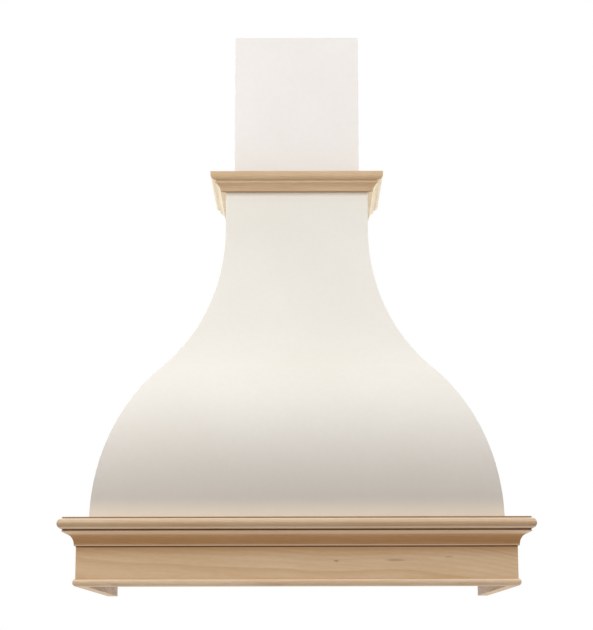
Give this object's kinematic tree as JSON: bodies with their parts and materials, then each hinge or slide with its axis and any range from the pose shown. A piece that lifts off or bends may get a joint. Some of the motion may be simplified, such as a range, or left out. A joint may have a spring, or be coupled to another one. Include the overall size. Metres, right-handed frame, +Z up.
{
  "type": "range hood cover",
  "caption": "Wall-hung wooden range hood cover: bell-shaped painted shell on a moulded maple skirt, with a maple crown and a chimney that slides up out of the neck.",
  "frame": {"origin": "on the wall plane, midway between the two screw holes of the hanging rail, on the hood's centre line", "axes": "+Z up, +Y into the wall, -Y towards the cook, +X to the right as seen from the front; the skirt's lower edge lies 343.5 mm below the origin"},
  "size_m": [0.8226, 0.5633, 1.1004],
  "materials": {
    "raw_maple": "sanded, unfinished maple",
    "painted_panel": "off-white satin primer on board",
    "birch_plywood": "sawn plywood",
    "pine_batten": "planed softwood",
    "liner_board": "medium density board",
    "slip_strip": "smooth low-friction strip",
    "zinc_screw": "zinc plated"
  },
  "bodies": {
    "hood": {"base_rail_front": "pine_batten", "base_rail_left": "pine_batten", "base_rail_right": "pine_batten", "bead_front": "raw_maple", "bead_left": "raw_maple", "bead_right": "raw_maple", "corner_post_left": "pine_batten", "corner_post_right": "pine_batten", "cove_front": "raw_maple", "cove_left": "raw_maple", "cove_right": "raw_maple", "crown_front": "raw_maple", "crown_left": "raw_maple", "crown_right": "raw_maple", "frieze_front": "raw_maple", "frieze_left": "raw_maple", "frieze_right": "raw_maple", "front_panel": "painted_panel", "front_rib_centre": "birch_plywood", "front_rib_left": "birch_plywood", "front_rib_right": "birch_plywood", "guide_pads_front": "slip_strip", "guide_pads_left": "slip_strip", "guide_pads_right": "slip_strip", "hanging_rail": "pine_batten", "liner_panel": "liner_board", "liner_screws": "zinc_screw", "lower_rail": "pine_batten", "mantel_front": "raw_maple", "mantel_left": "raw_maple", "mantel_right": "raw_maple", "rail_screws": "zinc_screw", "rear_former_left": "birch_plywood", "rear_former_right": "birch_plywood", "side_panel_left": "painted_panel", "side_panel_right": "painted_panel", "side_rib_left": "birch_plywood", "side_rib_right": "birch_plywood", "skirt_screws": "zinc_screw"},
    "chimney": {"chimney_batten_front": "pine_batten", "chimney_batten_left": "pine_batten", "chimney_batten_right": "pine_batten", "chimney_front": "painted_panel", "chimney_left": "painted_panel", "chimney_post_left": "pine_batten", "chimney_post_right": "pine_batten", "chimney_right": "painted_panel", "chimney_spreader_bottom": "pine_batten", "chimney_spreader_top": "pine_batten", "stop_strip_front": "slip_strip", "stop_strip_left": "slip_strip", "stop_strip_right": "slip_strip"}
  },
  "joints": [
    {"name": "chimney_slide", "type": "slide", "parent": "hood", "child": "chimney", "axis": [0, 0, 1], "range_m": [-0.26, 0.1]}
  ]
}
